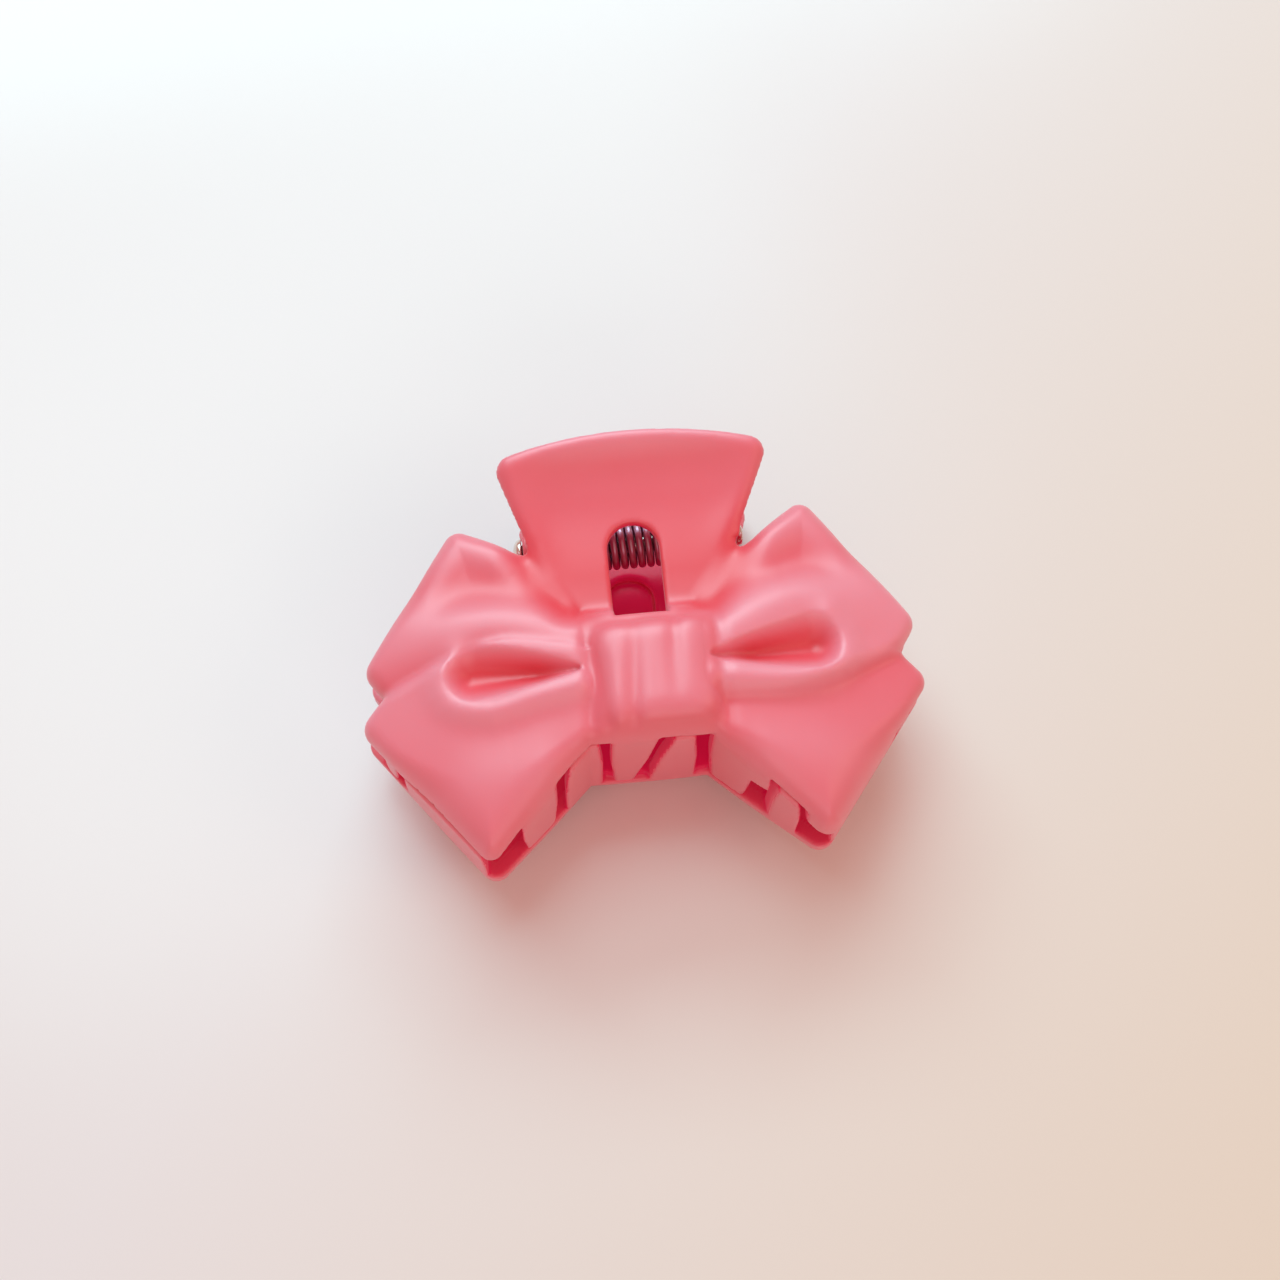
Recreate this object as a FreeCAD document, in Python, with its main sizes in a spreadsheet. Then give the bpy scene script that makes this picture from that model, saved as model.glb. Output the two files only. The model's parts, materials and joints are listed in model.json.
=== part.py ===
"""Bow hair claw clip, closed and lying on its back jaw. Millimetres, +Z up.

+X runs along the bow, +Y from the teeth to the handle, and the back jaw rests on Z = 0. Both jaws have the
same shape, drawn in its own jaw frame: the origin is under the knot, on the plane where the two jaws meet,
and +Z points out through the knot. The front jaw is that moulding lifted to the meeting plane, and the back
jaw is the same moulding turned half a turn about Y. Only the teeth differ, so that those of one jaw fill the
gaps of the other, and the slot in the back handle, which is a blind pocket.
"""

import FreeCAD, Part
import math
import os

import Sketcher

SIZES = {
    # where the jaw frame sits
    "meeting_height": 12.0,  # the plane where the jaws meet, above the table
    "knot_offset": -5.0,  # the knot's centre along Y
    # the bow's outline, from the knot's centre
    "neck_x": 6.4,
    "neck_top_y": 7.5,
    "shoulder_x": 10.6,  # where a wing's upper edge meets the handle
    "shoulder_y": 14.8,
    "upper_corner_x": 18.9,
    "upper_corner_y": 19.5,
    "upper_side_x": 29.5,
    "upper_side_y": 4.6,
    "notch_x": 27.4,
    "notch_y": 1.6,
    "lower_side_x": 30.2,
    "lower_side_y": -1.5,
    "bottom_corner_x": 17.6,
    "bottom_corner_y": -17.7,
    "neck_bottom_y": -7.2,
    "corner_round": 1.6,
    # the bow's shell
    "wall": 1.6,
    "prism_depth": 10.0,  # how far the raw outline reaches each way from the meeting plane
    "dome_radius": 68.0,
    "dome_top": 10.2,
    "shell": 1.8,
    "tooth_end_gap": 0.9,  # between a tooth's tip and the other jaw's shell
    "rim_height": 2.2,  # the lower edge of the walls that carry no teeth
    "teeth_from_y": -3.0,
    "rim_to_tooth": 0.8,  # along the wall, from the plain rim to the other jaw's nearest tooth
    # the knot over the middle of the bow
    "knot_width": 13.4,
    "knot_length": 13.8,
    "knot_floor": 7.4,
    "knot_top": 12.0,
    "knot_round": 2.2,
    # the two folds pressed into each wing
    "fold_x": 12.6,
    "fold_y": -0.4,
    "fold_length": 6.4,
    "fold_width": 1.7,
    "fold_depth": 1.5,
    "crease_radius": 0.8,
    "crease_start": 7.0,
    "crease_lift": 0.25,  # the crease's axis above the dome
    # the handle: a strip bent about an axis along X, trimmed to a fan
    "handle_waist_y": 9.0,
    "handle_waist": 7.0,  # outer face at the waist, above the meeting plane
    "handle_bend": 35.0,
    "handle_thickness": 1.9,
    "handle_foot_x": 5.6,
    "handle_foot_y": 3.0,
    "handle_neck_x": 6.3,
    "handle_neck_y": 8.0,
    "handle_hip_x": 11.2,
    "handle_hip_y": 15.6,
    "handle_tip_x": 14.7,
    "handle_tip_y": 25.0,
    "handle_end_y": 27.0,
    "handle_round": 2.0,
    "handle_prism": 14.0,
    "slot_half_width": 2.8,
    "slot_arch_y": 14.8,
    "slot_foot_y": 6.0,
    "slot_web": 0.7,  # what closes the back plate's slot, at its outer face
    # the hinge
    "pivot_y": 18.0,
    "pin_radius": 0.9,
    "pin_play": 0.05,
    "pin_end_x": 11.9,
    "pin_head_radius": 1.6,
    "pin_head_height": 0.75,
    "pin_tail_radius": 1.2,
    "pin_root": 0.3,  # how far the shaft runs into its head and tail
    "lug_radius": 2.5,
    "lug_thickness": 1.6,
    "outer_lug_x": 9.4,  # its inner face
    "inner_lug_x": 7.6,
    "lug_root": 7.0,  # how far a lug runs up into the handle
    # the spring round the pin
    "coil_radius": 2.3,
    "wire_radius": 0.43,
    "coil_pitch": 0.95,
    "coil_half_turns": 26,  # whole half turns, before the part turn that brings the second leg round
    "coil_length": 12.75,  # between the wire's centres at the two ends
    "leg_angle": 36.5,
    "leg_length": 10.6,
}

# Along X, where a tooth of one jaw gives way to one of the other. The front jaw's first tooth is between
# the first two.
TOOTH_EDGES = [-28.0, -22.4, -16.8, -9.8, -5.7, -1.2, 4.7, 9.1, 15.2, 21.8, 28.0]
TOOTH_GAPS = [1.4, 1.0, 4.2, 1.1, 1.1, 1.1, 1.3, 2.8, 3.6, 1.0, 1.0]  # the open width at each of those places
EDGE_LETTERS = "abcdefghijk"
OUTSIDE = 32.0  # beyond the bow on either side

doc = FreeCAD.newDocument("HairClaw")
sheet = doc.addObject("Spreadsheet::Sheet", "Sizes")


def fill_sheet():
    """One row for each size, and one for each edge between a front tooth and a back tooth."""
    cells = dict(SIZES)
    cells["outside"] = OUTSIDE
    for letter, edge, gap in zip(EDGE_LETTERS, TOOTH_EDGES, TOOTH_GAPS):
        cells["tooth_edge_" + letter] = edge
        cells["tooth_gap_" + letter] = gap
    for row, (alias, value) in enumerate(cells.items(), start=1):
        sheet.set("A%d" % row, alias)
        sheet.set("B%d" % row, repr(value))
        sheet.setAlias("B%d" % row, alias)
    doc.recompute()


def size(alias):
    """A size read back from the sheet, with an optional minus sign before its name."""
    sign = -1.0 if alias.startswith("-") else 1.0
    return sign * float(getattr(sheet, alias.lstrip("-")))


def bind(thing, **expressions):
    """Binds properties to the sheet. A double underscore stands for a dot in the property's path."""
    for path, expression in expressions.items():
        thing.setExpression(path.replace("__", "."), expression)
    return thing


def part(kind, name, **expressions):
    return bind(doc.addObject("Part::" + kind, name), **expressions)


def joined(kind, name, shapes):
    thing = doc.addObject("Part::" + kind, name)
    thing.Shapes = shapes
    return thing


def cut(name, base, tool):
    thing = doc.addObject("Part::Cut", name)
    thing.Base = base
    thing.Tool = tool
    return thing


def turned(thing, axis, angle):
    thing.Placement.Rotation = FreeCAD.Rotation(FreeCAD.Vector(*axis), angle)
    return thing


def new_sketch(body, name):
    """A sketch on the body's own XY plane."""
    sketch = body.newObject("Sketcher::SketchObject", name)
    plane = next(p for p in body.Origin.OriginFeatures if p.Role == "XY_Plane")
    sketch.AttachmentSupport = [(plane, "")]
    sketch.MapMode = "FlatFace"
    return sketch


def fix_point(sketch, edge, x_alias, y_alias):
    """Ties the start of an edge to two cells of the sheet."""
    for kind, alias in (("DistanceX", x_alias), ("DistanceY", y_alias)):
        number = sketch.addConstraint(Sketcher.Constraint(kind, -1, 1, edge, 1, size(alias)))
        minus = "-" if alias.startswith("-") else ""
        sketch.setExpression("Constraints[%d]" % number, minus + "Sizes." + alias.lstrip("-"))


def draw_polygon(sketch, corners):
    """A closed outline through corners, each a pair of sheet aliases."""
    points = [FreeCAD.Vector(size(x), size(y), 0) for x, y in corners]
    count = len(points)
    for number in range(count):
        sketch.addGeometry(Part.LineSegment(points[number], points[(number + 1) % count]), False)
    for number in range(count):
        sketch.addConstraint(Sketcher.Constraint("Coincident", number, 2, (number + 1) % count, 1))
    for number, (x, y) in enumerate(corners):
        fix_point(sketch, number, x, y)


def pad(body, sketch, name, length, reversed_too=False):
    feature = body.newObject("PartDesign::Pad", name)
    feature.Profile = sketch
    feature.setExpression("Length", length)
    feature.Midplane = reversed_too
    sketch.Visibility = False
    doc.recompute()
    return feature


def upright_edges(shape, least_x=0.0):
    """Names of the edges that run along Z, further than least_x from the middle."""
    names = []
    for number, edge in enumerate(shape.Edges, start=1):
        box = edge.BoundBox
        if box.ZLength > 1.0 and box.XLength < 1e-6 and box.YLength < 1e-6 and abs(box.XMin) > least_x:
            names.append("Edge%d" % number)
    return names


def round_corners(body, base, name, radius, least_x):
    feature = body.newObject("PartDesign::Fillet", name)
    feature.Base = (base, upright_edges(base.Shape, least_x))
    feature.setExpression("Radius", radius)
    doc.recompute()
    return feature


def bow_corners():
    right = [
        ("neck_x", "neck_top_y"),
        ("shoulder_x", "shoulder_y"),
        ("upper_corner_x", "upper_corner_y"),
        ("upper_side_x", "upper_side_y"),
        ("notch_x", "notch_y"),
        ("lower_side_x", "lower_side_y"),
        ("bottom_corner_x", "bottom_corner_y"),
        ("neck_x", "neck_bottom_y"),
    ]
    left = [("-" + x, y) for x, y in reversed(right)]
    return right + left


def outline_prism():
    """The bow's outline as a tall prism, its corners rounded."""
    body = doc.addObject("PartDesign::Body", "BowOutline")
    sketch = new_sketch(body, "BowOutlineSketch")
    draw_polygon(sketch, bow_corners())
    raw = pad(body, sketch, "BowOutlinePad", "2 * Sizes.prism_depth", reversed_too=True)
    rounded = round_corners(body, raw, "BowCorners", "Sizes.corner_round", size("neck_x") + 1.0)
    body.Tip = rounded
    return body, sketch


def inner_prism(sketch):
    """The same outline moved in by the wall's thickness: the space inside the bow."""
    flat = part("Offset2D", "InnerOutline", Value="-Sizes.wall")
    flat.Source = sketch
    prism = part("Extrusion", "InnerPrism", LengthFwd="Sizes.prism_depth", LengthRev="Sizes.prism_depth")
    prism.Base = flat
    prism.DirMode = "Custom"
    prism.Dir = FreeCAD.Vector(0, 0, 1)
    prism.Solid = True
    return prism


def ball(name, radius, height):
    return part("Sphere", name, Radius=radius, Placement__Base__z=height)


def bow_blank():
    """The bow as a shell: a domed face with walls that reach down to the other jaw's shell."""
    outline, sketch = outline_prism()
    outer = ball("OuterDome", "Sizes.dome_radius", "Sizes.dome_top - Sizes.dome_radius")
    under = ball(
        "ToothEnds",
        "Sizes.dome_radius - Sizes.shell - Sizes.tooth_end_gap",
        "Sizes.dome_radius - Sizes.dome_top",
    )
    inner = ball("InnerDome", "Sizes.dome_radius - Sizes.shell", "Sizes.dome_top - Sizes.dome_radius")
    solid = joined("MultiCommon", "BowSolid", [outline, outer, under])
    hollow = joined("MultiCommon", "BowHollow", [inner_prism(sketch), inner])
    below_rim = part(
        "Box",
        "BelowRim",
        Length="2 * Sizes.outside",
        Width="Sizes.outside",
        Height="Sizes.prism_depth + Sizes.rim_height",
        Placement__Base__x="-Sizes.outside",
        Placement__Base__y="Sizes.teeth_from_y",
        Placement__Base__z="-Sizes.prism_depth",
    )
    return cut("BowShell", solid, joined("MultiFuse", "BowSpace", [hollow, below_rim])), inner


def knot():
    """The wrapped knot, a block with rounded top edges."""
    block = part(
        "Box",
        "KnotBlock",
        Length="Sizes.knot_width",
        Width="Sizes.knot_length",
        Height="Sizes.knot_top - Sizes.knot_floor",
        Placement__Base__x="-Sizes.knot_width / 2",
        Placement__Base__y="-Sizes.knot_length / 2",
        Placement__Base__z="Sizes.knot_floor",
    )
    doc.recompute()
    top = block.Shape.BoundBox.ZMax
    edges = []
    for number, edge in enumerate(block.Shape.Edges, start=1):
        if edge.BoundBox.ZMin > top - 1e-6 or edge.BoundBox.ZLength > 1.0:
            edges.append((number, size("knot_round"), size("knot_round")))
    rounded = doc.addObject("Part::Fillet", "Knot")
    rounded.Base = block
    rounded.Edges = edges
    return rounded


def fold(name, side):
    """The teardrop pressed into a wing beside the knot."""
    return part(
        "Ellipsoid",
        name,
        Radius1="Sizes.fold_depth",
        Radius2="Sizes.fold_length",
        Radius3="Sizes.fold_width",
        Placement__Base__x=side + "Sizes.fold_x",
        Placement__Base__y=side + "Sizes.fold_y",
        Placement__Base__z="Sizes.dome_top - Sizes.fold_x ^ 2 / (2 * Sizes.dome_radius)",
    )


def crease(name, side):
    """The line where one lobe of a wing laps over the other, from the knot out to the notch."""
    groove = part(
        "Cylinder",
        name,
        Radius="Sizes.crease_radius",
        Height="Sizes.outside - Sizes.crease_start",
        Placement__Base__x=side + "Sizes.crease_start",
        Placement__Base__y="-Sizes.fold_width - Sizes.crease_radius",
        Placement__Base__z="Sizes.dome_top + Sizes.crease_lift",
    )
    drop = 12.0  # degrees below level, the mean slope of the dome along the crease
    rise = 4.0  # degrees towards the notch
    heading = rise if side == "" else 180.0 - rise
    along = FreeCAD.Rotation(FreeCAD.Vector(0, 0, 1), heading)
    groove.Placement.Rotation = along.multiply(FreeCAD.Rotation(FreeCAD.Vector(0, 1, 0), 90.0 + drop))
    return groove


def handle_fan():
    """The finger plate's outline as a prism: straight sides and a bowed end."""
    body = doc.addObject("PartDesign::Body", "HandleFan")
    sketch = new_sketch(body, "HandleFanSketch")
    right = [
        ("handle_foot_x", "handle_foot_y"),
        ("handle_neck_x", "handle_neck_y"),
        ("handle_hip_x", "handle_hip_y"),
        ("handle_tip_x", "handle_tip_y"),
    ]
    corners = [("-" + x, y) for x, y in reversed(right)] + right
    points = [FreeCAD.Vector(size(x), size(y), 0) for x, y in corners]
    last = len(points) - 1
    for number in range(last):
        sketch.addGeometry(Part.LineSegment(points[number], points[number + 1]), False)
    sketch.addGeometry(Part.Arc(points[last], FreeCAD.Vector(0, size("handle_end_y"), 0), points[0]), False)
    for number in range(last - 1):
        sketch.addConstraint(Sketcher.Constraint("Coincident", number, 2, number + 1, 1))
    for number in range(last):
        fix_point(sketch, number, *corners[number])
    sketch.addConstraint(Sketcher.Constraint("Symmetric", last - 1, 2, 0, 1, -2))
    arc_start, arc_end = (1, 2) if sketch.getPoint(last, 1).x > 0 else (2, 1)
    sketch.addConstraint(Sketcher.Constraint("Coincident", last, arc_start, last - 1, 2))
    sketch.addConstraint(Sketcher.Constraint("Coincident", last, arc_end, 0, 1))
    radius = sketch.addConstraint(Sketcher.Constraint("Radius", last, sketch.Geometry[last].Radius))
    rise = "(Sizes.handle_end_y - Sizes.handle_tip_y)"
    bow = "(Sizes.handle_tip_x ^ 2 + %s ^ 2) / (2 * %s)" % (rise, rise)
    sketch.setExpression("Constraints[%d]" % radius, bow)
    raw = pad(body, sketch, "HandleFanPad", "Sizes.handle_prism")
    body.Tip = round_corners(body, raw, "HandleCorners", "Sizes.handle_round", size("handle_hip_x") + 1.0)
    return body


def handle_strip(name, thickness):
    """A sheet of the finger plate's bend, rolled about an axis along X, from the plate's outer face in."""
    bend = dict(
        Height="2 * Sizes.outside",
        Placement__Base__x="-Sizes.outside",
        Placement__Base__y="Sizes.handle_waist_y",
        Placement__Base__z="Sizes.handle_waist + Sizes.handle_bend",
    )
    inside = part("Cylinder", name + "Inside", Radius="Sizes.handle_bend + " + thickness, **bend)
    outside = part("Cylinder", name + "Outside", Radius="Sizes.handle_bend", **bend)
    for drum in (inside, outside):
        turned(drum, (0, 1, 0), 90)
    return cut(name + "Strip", inside, outside)


def slot():
    """The arched opening in the finger plate, over the spring."""
    arch = part(
        "Cylinder",
        "SlotArch",
        Radius="Sizes.slot_half_width",
        Height="Sizes.handle_prism",
        Placement__Base__y="Sizes.slot_arch_y",
    )
    straight = part(
        "Box",
        "SlotStraight",
        Length="2 * Sizes.slot_half_width",
        Width="Sizes.slot_arch_y - Sizes.slot_foot_y",
        Height="Sizes.handle_prism",
        Placement__Base__x="-Sizes.slot_half_width",
        Placement__Base__y="Sizes.slot_foot_y",
    )
    return joined("MultiFuse", "Slot", [arch, straight])


def lug(name, inner_face):
    """An ear on the handle's inside that holds the pin; inner_face is its left face along X."""
    eye = part(
        "Cylinder",
        name + "Eye",
        Radius="Sizes.lug_radius",
        Height="Sizes.lug_thickness",
        Placement__Base__x=inner_face,
        Placement__Base__y="Sizes.pivot_y",
    )
    turned(eye, (0, 1, 0), 90)
    stem = part(
        "Box",
        name + "Stem",
        Length="Sizes.lug_thickness",
        Width="2 * Sizes.lug_radius",
        Height="Sizes.lug_root",
        Placement__Base__x=inner_face,
        Placement__Base__y="Sizes.pivot_y - Sizes.lug_radius",
    )
    return [eye, stem]


def pin_bore():
    bore = part(
        "Cylinder",
        "PinBore",
        Radius="Sizes.pin_radius + Sizes.pin_play",
        Height="2 * Sizes.outside",
        Placement__Base__x="-Sizes.outside",
        Placement__Base__y="Sizes.pivot_y",
    )
    return turned(bore, (0, 1, 0), 90)


def jaw_blank():
    """Everything that the two jaws share, with the toothed wall still whole."""
    shell, inner_dome = bow_blank()
    strip = handle_strip("Plate", "Sizes.handle_thickness")
    plate = joined("MultiCommon", "HandlePlate", [handle_fan(), strip])
    lugs = lug("OuterLug", "Sizes.outer_lug_x")
    lugs += lug("InnerLug", "-Sizes.inner_lug_x - Sizes.lug_thickness")
    solid = joined("MultiFuse", "JawSolid", [shell, plate, knot()] + lugs)
    pressed = [fold("FoldRight", ""), fold("FoldLeft", "-")]
    pressed += [crease("CreaseRight", ""), crease("CreaseLeft", "-")]
    opening = slot()
    holes = joined("MultiFuse", "JawHoles", [opening, pin_bore()] + pressed)
    web = joined("MultiCommon", "SlotWeb", [opening, handle_strip("Web", "Sizes.slot_web")])
    return cut("JawBlank", solid, holes), inner_dome, web


def gap_boxes(owner):
    """The stretches of toothed wall that a jaw leaves to the other jaw, as boxes in its own jaw frame."""
    edges = ["-Sizes.outside"]
    gaps = ["0"]
    for letter in EDGE_LETTERS:
        edges.append("Sizes.tooth_edge_" + letter)
        gaps.append("Sizes.tooth_gap_" + letter)
    edges.append("Sizes.outside")
    gaps.append("0")
    first = 0 if owner == "front" else 1
    boxes = []
    for number in range(first, len(edges) - 1, 2):
        left = "(%s - %s / 2)" % (edges[number], gaps[number])
        right = "(%s + %s / 2)" % (edges[number + 1], gaps[number + 1])
        boxes.append(
            part(
                "Box",
                "%sGap%d" % (owner.capitalize(), number),
                Length="%s - %s" % (right, left),
                Width="Sizes.outside",
                Height="2 * Sizes.prism_depth",
                # the back jaw is turned over, so its X runs the other way
                Placement__Base__x=left if owner == "front" else "-" + right,
                Placement__Base__y="Sizes.teeth_from_y + Sizes.rim_to_tooth - Sizes.outside",
                Placement__Base__z="-Sizes.prism_depth",
            )
        )
    return boxes


def jaw(owner, blank, inner_dome, web):
    """One jaw, its teeth cut from the blank's wall and the whole set in its place."""
    everywhere = joined("MultiFuse", owner.capitalize() + "Gaps", gap_boxes(owner))
    below_shell = joined("MultiCommon", owner.capitalize() + "GapSpace", [everywhere, inner_dome])
    if owner == "front":
        solid = cut("front_jaw", blank, below_shell)
    else:
        # the back plate's slot is a blind pocket
        solid = joined("MultiFuse", "back_jaw", [cut("BackToothed", blank, below_shell), web])
        turned(solid, (0, 1, 0), 180)
    bind(solid, Placement__Base__y="Sizes.knot_offset", Placement__Base__z="Sizes.meeting_height")
    solid.Label = owner + "_jaw"
    return solid


def hinge_pin():
    """A rivet-like pin: a domed head at the left and a small upset end at the right."""
    on_axis = dict(Placement__Base__y="Sizes.pivot_y")
    shaft = part(
        "Cylinder",
        "PinShaft",
        Radius="Sizes.pin_radius",
        Height="2 * Sizes.pin_end_x + 2 * Sizes.pin_root",
        Placement__Base__x="-Sizes.pin_end_x - Sizes.pin_root",
        **on_axis,
    )
    head = part(
        "Ellipsoid",
        "PinHead",
        Radius1="Sizes.pin_head_height",
        Radius2="Sizes.pin_head_radius",
        Radius3="Sizes.pin_head_radius",
        Placement__Base__x="-Sizes.pin_end_x",
        **on_axis,
    )
    head.Angle1 = 0
    turned(head, (0, 1, 0), -90)
    tail = part(
        "Cone",
        "PinTail",
        Radius1="Sizes.pin_radius",
        Radius2="Sizes.pin_tail_radius",
        Height="Sizes.pin_head_height",
        Placement__Base__x="Sizes.pin_end_x",
        **on_axis,
    )
    for round_piece in (shaft, tail):
        turned(round_piece, (0, 1, 0), 90)
    pin = joined("MultiFuse", "hinge_pin", [shaft, head, tail])
    bind(pin, Placement__Base__y="Sizes.knot_offset", Placement__Base__z="Sizes.meeting_height")
    pin.Label = "hinge_pin"
    return pin


def coil_direction(angle):
    """The unit vector at an angle round the pin, from +Y towards +Z."""
    return FreeCAD.Vector(0, math.cos(math.radians(angle)), math.sin(math.radians(angle)))


def half_turn(number, sweep):
    """One half turn of the coil, a slightly tilted ring that moves on by half a pitch; sweep is its angle."""
    start = coil_direction(90.0 + size("leg_angle") + 180.0 * number)
    across = FreeCAD.Vector(size("coil_pitch") / 4, 0, 0) - start * size("coil_radius")
    ring = part(
        "Torus",
        "HalfTurn%d" % number,
        Radius1="sqrt(Sizes.coil_radius ^ 2 + (Sizes.coil_pitch / 4) ^ 2)",
        Radius2="Sizes.wire_radius",
        Placement__Base__x="Sizes.coil_pitch * (%d / 2 + 0.25) - Sizes.coil_length / 2" % number,
    )
    ring.Angle3 = sweep
    onward = FreeCAD.Vector(1, 0, 0).cross(start)
    ring.Placement.Rotation = FreeCAD.Rotation(-across, onward, (-across).cross(onward), "XYZ")
    return ring


def spring_leg(name, root, direction):
    """A straight leg that leaves the coil at root, along direction."""
    leg = part("Cylinder", name, Radius="Sizes.wire_radius", Height="Sizes.leg_length")
    leg.Placement = FreeCAD.Placement(root, FreeCAD.Rotation(FreeCAD.Vector(0, 0, 1), direction))
    return leg


def torsion_spring():
    """A close-wound coil about the pin, with one leg against each handle."""
    last = int(size("coil_half_turns"))
    last_sweep = 180.0 - 2 * size("leg_angle")
    rings = [half_turn(number, 180.0) for number in range(last)] + [half_turn(last, last_sweep)]
    doc.recompute()
    first_ring, last_ring = rings[0].Placement, rings[-1].Placement
    radius = rings[0].Radius1.Value
    turn = math.radians(last_sweep)
    end_point = FreeCAD.Vector(math.cos(turn), math.sin(turn), 0) * radius
    end_course = FreeCAD.Vector(-math.sin(turn), math.cos(turn), 0)
    legs = [
        spring_leg(
            "FrontLeg",
            first_ring.multVec(FreeCAD.Vector(radius, 0, 0)),
            first_ring.Rotation.multVec(FreeCAD.Vector(0, -1, 0)),
        ),
        spring_leg("BackLeg", last_ring.multVec(end_point), last_ring.Rotation.multVec(end_course)),
    ]
    spring = joined("MultiFuse", "torsion_spring", rings + legs)
    bind(
        spring,
        Placement__Base__y="Sizes.pivot_y + Sizes.knot_offset",
        Placement__Base__z="Sizes.meeting_height",
    )
    spring.Label = "torsion_spring"
    return spring


def check(parts):
    """Stops on a failed object, or on a part that isn't a single valid solid."""
    for thing in doc.Objects:
        if "Invalid" in thing.State or "Error" in thing.State:
            raise RuntimeError("%s failed: %s" % (thing.Name, thing.State))
    for thing in parts:
        shape = thing.Shape
        if shape.isNull() or not shape.isValid() or len(shape.Solids) != 1:
            raise RuntimeError("%s is not a single valid solid" % thing.Label)


def main():
    fill_sheet()
    blank, inner_dome, web = jaw_blank()
    parts = [
        jaw("front", blank, inner_dome, web),
        jaw("back", blank, inner_dome, web),
        hinge_pin(),
        torsion_spring(),
    ]
    doc.recompute()
    check(parts)
    os.makedirs("parts", exist_ok=True)
    for thing in parts:
        thing.Shape.exportStep("parts/%s.step" % thing.Label)
        box = thing.Shape.BoundBox
        print(thing.Label, "volume %.1f" % thing.Shape.Volume, box)


main()
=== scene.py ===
import json
import math

import bmesh
import bpy
import numpy as np
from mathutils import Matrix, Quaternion, Vector


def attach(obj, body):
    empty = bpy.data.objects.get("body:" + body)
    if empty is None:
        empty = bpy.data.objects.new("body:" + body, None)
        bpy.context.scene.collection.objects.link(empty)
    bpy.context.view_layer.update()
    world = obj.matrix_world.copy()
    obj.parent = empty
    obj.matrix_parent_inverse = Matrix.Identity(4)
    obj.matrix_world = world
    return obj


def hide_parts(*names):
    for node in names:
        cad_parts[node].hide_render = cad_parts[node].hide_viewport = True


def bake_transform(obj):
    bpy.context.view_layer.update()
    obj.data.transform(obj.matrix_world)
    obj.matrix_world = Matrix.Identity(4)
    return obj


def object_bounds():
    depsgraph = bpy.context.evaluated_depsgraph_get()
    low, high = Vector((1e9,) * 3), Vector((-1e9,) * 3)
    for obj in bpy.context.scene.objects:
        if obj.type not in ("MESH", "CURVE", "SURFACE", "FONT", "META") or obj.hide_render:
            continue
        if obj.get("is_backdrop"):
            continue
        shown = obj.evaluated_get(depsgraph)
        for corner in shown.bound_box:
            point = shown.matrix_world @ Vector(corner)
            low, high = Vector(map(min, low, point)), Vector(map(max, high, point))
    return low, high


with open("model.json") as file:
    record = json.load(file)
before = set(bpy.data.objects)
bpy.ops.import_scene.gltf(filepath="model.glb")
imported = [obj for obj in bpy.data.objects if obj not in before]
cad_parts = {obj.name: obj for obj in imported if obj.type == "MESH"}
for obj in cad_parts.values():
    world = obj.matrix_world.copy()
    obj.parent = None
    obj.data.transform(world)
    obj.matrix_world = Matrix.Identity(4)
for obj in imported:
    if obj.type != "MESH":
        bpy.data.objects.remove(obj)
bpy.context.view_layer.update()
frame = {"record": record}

# Everything below is in millimetres in a jaw's own frame until it is placed: the origin is under the knot on
# the plane where the jaws meet, +Y runs to the handle and +Z comes out through the knot.
MM = 0.001
HINGE = Vector(frame["record"]["behaviour"]["joints"][0]["pos_m"])
PIVOT_Y = 18.0
TURN = {"front": 1.0, "back": -1.0}  # the back jaw is turned over about the Y axis
STEP = 0.3  # grid spacing of the jaw's shape

# ---------------------------------------------------------------- sizes
# the bow's right side from the top down
OUTLINE = [
    (6.4, 7.5), (10.6, 14.8), (18.9, 19.5), (29.5, 4.6), (27.4, 1.6),
    (30.2, -1.5), (17.6, -17.7), (6.4, -6.7),
]
RIGHT_SHOULDER = (10.6, 13.2)  # the right wing leaves the handle a little lower than the left one
CORNER_ROUND = 1.6
WALL = 1.6
SHELL = 1.8
SHELL_LEAST = 1.1
CREST = 10.2
RIM_HEIGHT = 2.2

TEETH_FROM_Y = -3.0
RIM_TO_TOOTH = 0.8
TOOTH_END_GAP = 0.5
SHOULDER_GAP = 0.35  # what is left of a gap that closes above the front jaw's rim
# the gaps between the two jaws' teeth: place along X, width, lean to the right per height, closes high up
GAPS = [
    (-28.6, 1.2, 0.0, False),
    (-26.4, 0.5, 0.0, False),
    (-16.2, 4.0, 0.0, False),
    (-9.8, 0.9, 0.0, False),
    (-4.7, 0.8, 0.0, False),
    (0.3, 1.2, 0.13, False),
    (5.6, 1.3, 0.0, False),
    (11.2, 1.9, 0.0, True),
    (16.4, 3.0, 0.0, True),
    (26.4, 0.6, 0.0, False),
    (28.6, 1.0, 0.0, False),
]
FAR = 40.0  # past the bow's ends

HANDLE_SIDE = [(6.2, 3.0), (7.1, 8.0), (9.5, 12.0), (11.6, 16.4), (14.7, 25.0)]
LEAN = 0.35  # the front handle sits a little to the right of the wings
BACK_LEAN = 1.2  # and the back one behind it, further to its own left
BACK_SPREAD = 0.94
RIGHT_SPREAD = 0.06
HANDLE_END_Y = 27.0
HANDLE_BEND_Y = 9.0
HANDLE_WAIST = 7.0
HANDLE_BEND = 35.0
HANDLE_THICKNESS = 1.9
SLOT_HALF = 2.8
SLOT_ARCH_Y = 14.8
SLOT_FOOT_Y = 6.6
BACK_SLOT_DROP = 1.4
SLOT_WEB = 0.7  # the back plate's slot is a pocket with this much left at its outer face

KNOT_LEAN = 0.9
KNOT_TOP = 12.0
KNOT_ARCH = 0.42
KNOT_HALF = (6.5, 6.9)
KNOT_HALF_WIDTH = 6.75
KNOT_END_Y = 6.0
KNOT_BASE = 6.9

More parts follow.
